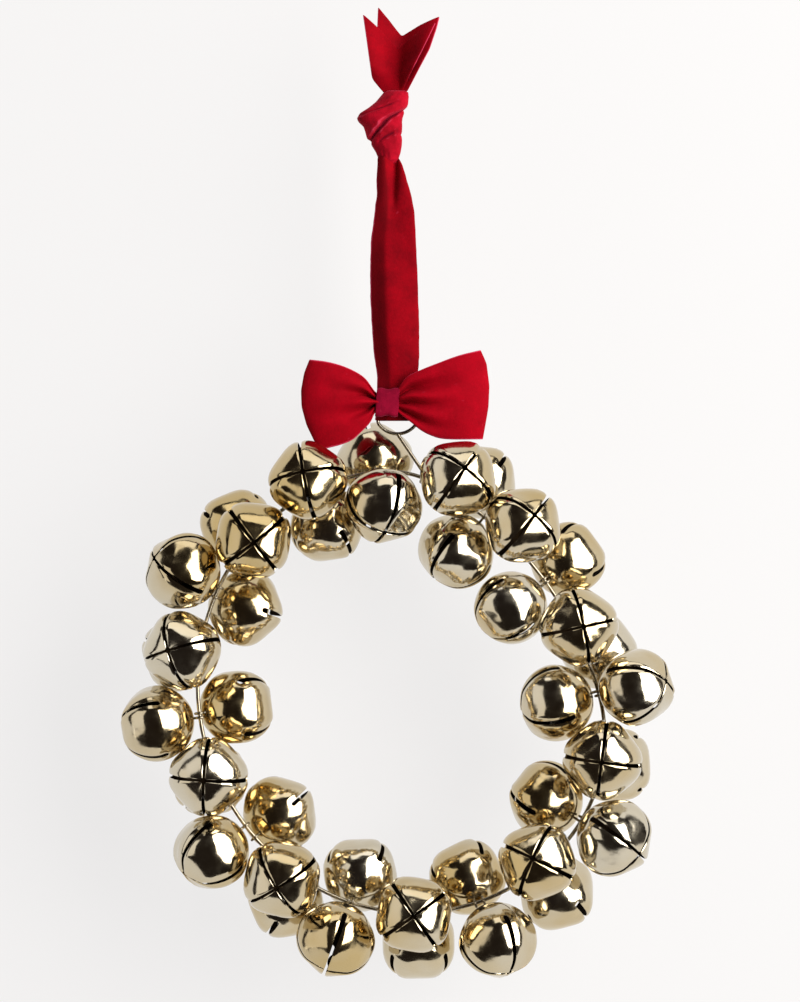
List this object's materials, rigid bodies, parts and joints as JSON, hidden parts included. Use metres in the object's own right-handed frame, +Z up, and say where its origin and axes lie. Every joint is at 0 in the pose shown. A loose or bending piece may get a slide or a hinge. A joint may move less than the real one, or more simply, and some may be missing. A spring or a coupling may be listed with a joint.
{
  "type": "jingle bell wreath ornament",
  "caption": "Hanging wreath of pale gold jingle bells, each swinging on a bent wire ring, with a wire hanger, a red velvet ribbon loop and a bow.",
  "frame": {"origin": "the point where a hook bears, inside the top of the ribbon's hanging loop just under the knot", "axes": "+Z up as it hangs, -Y towards the viewer of the bow, +X to that viewer's right"},
  "size_m": [0.2569, 0.0736, 0.4521],
  "materials": {
    "bell_shell": "polished",
    "ring_wire": "bright drawn",
    "ball": "bright",
    "velvet_ribbon": "velvet pile",
    "bow_ribbon": "velvet pile"
  },
  "bodies": {
    "hanging_ribbon": {"ribbon_loop": "velvet_ribbon", "ribbon_knot": "velvet_ribbon", "ribbon_left_tail": "velvet_ribbon", "ribbon_right_tail": "velvet_ribbon", "bow_left_wing": "bow_ribbon", "bow_right_wing": "bow_ribbon", "bow_band": "bow_ribbon"},
    "hanger": {"hanger_eye": "ring_wire"},
    "wreath": {"wire_ring": "ring_wire"},
    "front_bell_1": {"front_bell_1": "bell_shell"},
    "back_bell_1": {"back_bell_1": "bell_shell"},
    "inner_bell_1": {"inner_bell_1": "bell_shell"},
    "outer_bell_1": {"outer_bell_1": "bell_shell"},
    "outer_bell_2": {"outer_bell_2": "bell_shell"},
    "inner_bell_2": {"inner_bell_2": "bell_shell"},
    "front_bell_2": {"front_bell_2": "bell_shell"},
    "back_bell_2": {"back_bell_2": "bell_shell"},
    "inner_bell_3": {"inner_bell_3": "bell_shell"},
    "outer_bell_3": {"outer_bell_3": "bell_shell"},
    "front_bell_3": {"front_bell_3": "bell_shell"},
    "back_bell_3": {"back_bell_3": "bell_shell"},
    "outer_bell_4": {"outer_bell_4": "bell_shell"},
    "inner_bell_4": {"inner_bell_4": "bell_shell"},
    "front_bell_4": {"front_bell_4": "bell_shell"},
    "back_bell_4": {"back_bell_4": "bell_shell"},
    "outer_bell_5": {"outer_bell_5": "bell_shell"},
    "inner_bell_5": {"inner_bell_5": "bell_shell"},
    "back_bell_5": {"back_bell_5": "bell_shell"},
    "front_bell_5": {"front_bell_5": "bell_shell"},
    "inner_bell_6": {"inner_bell_6": "bell_shell"},
    "outer_bell_6": {"outer_bell_6": "bell_shell"},
    "back_bell_6": {"back_bell_6": "bell_shell"},
    "front_bell_6": {"front_bell_6": "bell_shell"},
    "inner_bell_7": {"inner_bell_7": "bell_shell"},
    "outer_bell_7": {"outer_bell_7": "bell_shell"},
    "back_bell_7": {"back_bell_7": "bell_shell"},
    "front_bell_7": {"front_bell_7": "bell_shell"},
    "outer_bell_8": {"outer_bell_8": "bell_shell"},
    "inner_bell_8": {"inner_bell_8": "bell_shell"},
    "back_bell_8": {"back_bell_8": "bell_shell"},
    "front_bell_8": {"front_bell_8": "bell_shell"},
    "inner_bell_9": {"inner_bell_9": "bell_shell"},
    "outer_bell_9": {"outer_bell_9": "bell_shell"},
    "back_bell_9": {"back_bell_9": "bell_shell"},
    "front_bell_9": {"front_bell_9": "bell_shell"},
    "inner_bell_10": {"inner_bell_10": "bell_shell"},
    "front_bell_10": {"front_bell_10": "bell_shell"},
    "back_bell_10": {"back_bell_10": "bell_shell"},
    "front_bell_11": {"front_bell_11": "bell_shell"},
    "front_rattle_balls": {"front_rattle_balls": "ball"},
    "outer_rattle_balls": {"outer_rattle_balls": "ball"},
    "inner_rattle_balls": {"inner_rattle_balls": "ball"},
    "back_rattle_balls": {"back_rattle_balls": "ball"}
  },
  "joints": [
    {"name": "hanger_swing", "type": "hinge", "parent": "hanging_ribbon", "child": "hanger", "pos_m": [0.003, 0, -0.1155], "axis": [1, 0, 0], "range_deg": [-6, 6]},
    {"name": "wreath_tip", "type": "hinge", "parent": "hanger", "child": "wreath", "pos_m": [0.01465, 0, -0.14498], "axis": [0.9379, 0, -0.3468], "range_deg": [-3, 3]},
    {"name": "front_bell_1_swing", "type": "hinge", "parent": "wreath", "child": "front_bell_1", "pos_m": [0.02703, 0, -0.15146], "axis": [-0.8471, 0, 0.5314], "range_deg": [-2.5, 2.5]},
    {"name": "back_bell_1_swing", "type": "hinge", "parent": "wreath", "child": "back_bell_1", "pos_m": [0.03451, 0, -0.15645], "axis": [-0.8159, 0, 0.5782], "range_deg": [-2.5, 2.5]},
    {"name": "inner_bell_1_swing", "type": "hinge", "parent": "wreath", "child": "inner_bell_1", "pos_m": [0.04326, 0, -0.16312], "axis": [-0.7742, 0, 0.6329], "range_deg": [-2.5, 2.5]},
    {"name": "outer_bell_1_swing", "type": "hinge", "parent": "wreath", "child": "outer_bell_1", "pos_m": [0.05441, 0, -0.17314], "axis": [-0.7116, 0, 0.7026], "range_deg": [-2.5, 2.5]},
    {"name": "outer_bell_2_swing", "type": "hinge", "parent": "wreath", "child": "outer_bell_2", "pos_m": [0.07076, 0, -0.19202], "axis": [-0.5936, 0, 0.8048], "range_deg": [-2.5, 2.5]},
    {"name": "inner_bell_2_swing", "type": "hinge", "parent": "wreath", "child": "inner_bell_2", "pos_m": [0.07194, 0, -0.19364], "axis": [-0.5835, 0, 0.8121], "range_deg": [-2.5, 2.5]},
    {"name": "front_bell_2_swing", "type": "hinge", "parent": "wreath", "child": "front_bell_2", "pos_m": [0.08443, 0, -0.2141], "axis": [-0.4556, 0, 0.8902], "range_deg": [-2.5, 2.5]},
    {"name": "back_bell_2_swing", "type": "hinge", "parent": "wreath", "child": "back_bell_2", "pos_m": [0.091, 0, -0.22868], "axis": [-0.3644, 0, 0.9312], "range_deg": [-2.5, 2.5]},
    {"name": "inner_bell_3_swing", "type": "hinge", "parent": "wreath", "child": "inner_bell_3", "pos_m": [0.09607, 0, -0.24385], "axis": [-0.2696, 0, 0.963], "range_deg": [-2.5, 2.5]},
    {"name": "outer_bell_3_swing", "type": "hinge", "parent": "wreath", "child": "outer_bell_3", "pos_m": [0.0966, 0, -0.24578], "axis": [-0.2562, 0, 0.9666], "range_deg": [-2.5, 2.5]},
    {"name": "front_bell_3_swing", "type": "hinge", "parent": "wreath", "child": "front_bell_3", "pos_m": [0.09853, 0, -0.27454], "axis": [0.1249, 0, 0.9922], "range_deg": [-2.5, 2.5]},
    {"name": "back_bell_3_swing", "type": "hinge", "parent": "wreath", "child": "back_bell_3", "pos_m": [0.09792, 0, -0.27849], "axis": [0.1773, 0, 0.9842], "range_deg": [-2.5, 2.5]},
    {"name": "outer_bell_4_swing", "type": "hinge", "parent": "wreath", "child": "outer_bell_4", "pos_m": [0.08904, 0, -0.30279], "axis": [0.4993, 0, 0.8664], "range_deg": [-2.5, 2.5]},
    {"name": "inner_bell_4_swing", "type": "hinge", "parent": "wreath", "child": "inner_bell_4", "pos_m": [0.08802, 0, -0.30451], "axis": [0.5221, 0, 0.8529], "range_deg": [-2.5, 2.5]},
    {"name": "front_bell_4_swing", "type": "hinge", "parent": "wreath", "child": "front_bell_4", "pos_m": [0.07035, 0, -0.32478], "axis": [0.7635, 0, 0.6459], "range_deg": [-2.5, 2.5]},
    {"name": "back_bell_4_swing", "type": "hinge", "parent": "wreath", "child": "back_bell_4", "pos_m": [0.06803, 0, -0.32668], "axis": [0.784, 0, 0.6208], "range_deg": [-2.5, 2.5]},
    {"name": "outer_bell_5_swing", "type": "hinge", "parent": "wreath", "child": "outer_bell_5", "pos_m": [0.04287, 0, -0.34085], "axis": [0.9372, 0, 0.3487], "range_deg": [-2.5, 2.5]},
    {"name": "inner_bell_5_swing", "type": "hinge", "parent": "wreath", "child": "inner_bell_5", "pos_m": [0.03909, 0, -0.34216], "axis": [0.9514, 0, 0.3078], "range_deg": [-2.5, 2.5]},
    {"name": "back_bell_5_swing", "type": "hinge", "parent": "wreath", "child": "back_bell_5", "pos_m": [0.01256, 0, -0.34663], "axis": [0.9998, 0, 0.021], "range_deg": [-2.5, 2.5]},
    {"name": "front_bell_5_swing", "type": "hinge", "parent": "wreath", "child": "front_bell_5", "pos_m": [0.01056, 0, -0.34665], "axis": [1, 0, -0.0007], "range_deg": [-2.5, 2.5]},
    {"name": "inner_bell_6_swing", "type": "hinge", "parent": "wreath", "child": "inner_bell_6", "pos_m": [-0.01797, 0, -0.34213], "axis": [0.951, 0, -0.3091], "range_deg": [-2.5, 2.5]},
    {"name": "outer_bell_6_swing", "type": "hinge", "parent": "wreath", "child": "outer_bell_6", "pos_m": [-0.01986, 0, -0.34149], "axis": [0.9441, 0, -0.3296], "range_deg": [-2.5, 2.5]},
    {"name": "back_bell_6_swing", "type": "hinge", "parent": "wreath", "child": "back_bell_6", "pos_m": [-0.04127, 0, -0.33077], "axis": [0.8337, 0, -0.5523], "range_deg": [-2.5, 2.5]},
    {"name": "front_bell_6_swing", "type": "hinge", "parent": "wreath", "child": "front_bell_6", "pos_m": [-0.04777, 0, -0.32611], "axis": [0.7905, 0, -0.6124], "range_deg": [-2.5, 2.5]},
    {"name": "inner_bell_7_swing", "type": "hinge", "parent": "wreath", "child": "inner_bell_7", "pos_m": [-0.06302, 0, -0.31172], "axis": [0.6573, 0, -0.7536], "range_deg": [-2.5, 2.5]},
    {"name": "outer_bell_7_swing", "type": "hinge", "parent": "wreath", "child": "outer_bell_7", "pos_m": [-0.06744, 0, -0.3063], "axis": [0.6071, 0, -0.7946], "range_deg": [-2.5, 2.5]},
    {"name": "back_bell_7_swing", "type": "hinge", "parent": "wreath", "child": "back_bell_7", "pos_m": [-0.0806, 0, -0.28395], "axis": [0.4001, 0, -0.9165], "range_deg": [-2.5, 2.5]},
    {"name": "front_bell_7_swing", "type": "hinge", "parent": "wreath", "child": "front_bell_7", "pos_m": [-0.08176, 0, -0.28118], "axis": [0.3745, 0, -0.9272], "range_deg": [-2.5, 2.5]},
    {"name": "outer_bell_8_swing", "type": "hinge", "parent": "wreath", "child": "outer_bell_8", "pos_m": [-0.08852, 0, -0.25614], "axis": [0.1427, 0, -0.9898], "range_deg": [-2.5, 2.5]},
    {"name": "inner_bell_8_swing", "type": "hinge", "parent": "wreath", "child": "inner_bell_8", "pos_m": [-0.08879, 0, -0.25416], "axis": [0.1243, 0, -0.9922], "range_deg": [-2.5, 2.5]},
    {"name": "back_bell_8_swing", "type": "hinge", "parent": "wreath", "child": "back_bell_8", "pos_m": [-0.0889, 0, -0.22822], "axis": [-0.1159, 0, -0.9933], "range_deg": [-2.5, 2.5]},
    {"name": "front_bell_8_swing", "type": "hinge", "parent": "wreath", "child": "front_bell_8", "pos_m": [-0.08851, 0, -0.22525], "axis": [-0.1434, 0, -0.9897], "range_deg": [-2.5, 2.5]},
    {"name": "inner_bell_9_swing", "type": "hinge", "parent": "wreath", "child": "inner_bell_9", "pos_m": [-0.08172, 0, -0.20021], "axis": [-0.3797, 0, -0.9251], "range_deg": [-2.5, 2.5]},
    {"name": "outer_bell_9_swing", "type": "hinge", "parent": "wreath", "child": "outer_bell_9", "pos_m": [-0.0797, 0, -0.19564], "axis": [-0.4279, 0, -0.9038], "range_deg": [-2.5, 2.5]},
    {"name": "back_bell_9_swing", "type": "hinge", "parent": "wreath", "child": "back_bell_9", "pos_m": [-0.06552, 0, -0.17394], "axis": [-0.6562, 0, -0.7546], "range_deg": [-2.5, 2.5]},
    {"name": "front_bell_9_swing", "type": "hinge", "parent": "wreath", "child": "front_bell_9", "pos_m": [-0.06419, 0, -0.17245], "axis": [-0.672, 0, -0.7406], "range_deg": [-2.5, 2.5]},
    {"name": "inner_bell_10_swing", "type": "hinge", "parent": "wreath", "child": "inner_bell_10", "pos_m": [-0.03737, 0, -0.15185], "axis": [-0.8888, 0, -0.4583], "range_deg": [-2.5, 2.5]},
    {"name": "front_bell_10_swing", "type": "hinge", "parent": "wreath", "child": "front_bell_10", "pos_m": [-0.03559, 0, -0.15095], "axis": [-0.8983, 0, -0.4394], "range_deg": [-2.5, 2.5]},
    {"name": "back_bell_10_swing", "type": "hinge", "parent": "wreath", "child": "back_bell_10", "pos_m": [-0.00701, 0, -0.14226], "axis": [-0.9945, 0, -0.1044], "range_deg": [-2.5, 2.5]},
    {"name": "front_bell_11_swing", "type": "hinge", "parent": "wreath", "child": "front_bell_11", "pos_m": [-0.00402, 0, -0.14204], "axis": [-0.9991, 0, -0.0421], "range_deg": [-2.5, 2.5]},
    {"name": "front_balls_rattle", "type": "slide", "parent": "wreath", "child": "front_rattle_balls", "axis": [0, 0, 1], "range_m": [0, 0.004]},
    {"name": "outer_balls_rattle", "type": "slide", "parent": "wreath", "child": "outer_rattle_balls", "axis": [0, 0, 1], "range_m": [0, 0.004]},
    {"name": "inner_balls_rattle", "type": "slide", "parent": "wreath", "child": "inner_rattle_balls", "axis": [0, 0, 1], "range_m": [0, 0.004]},
    {"name": "back_balls_rattle", "type": "slide", "parent": "wreath", "child": "back_rattle_balls", "axis": [0, 0, 1], "range_m": [0, 0.004]}
  ]
}
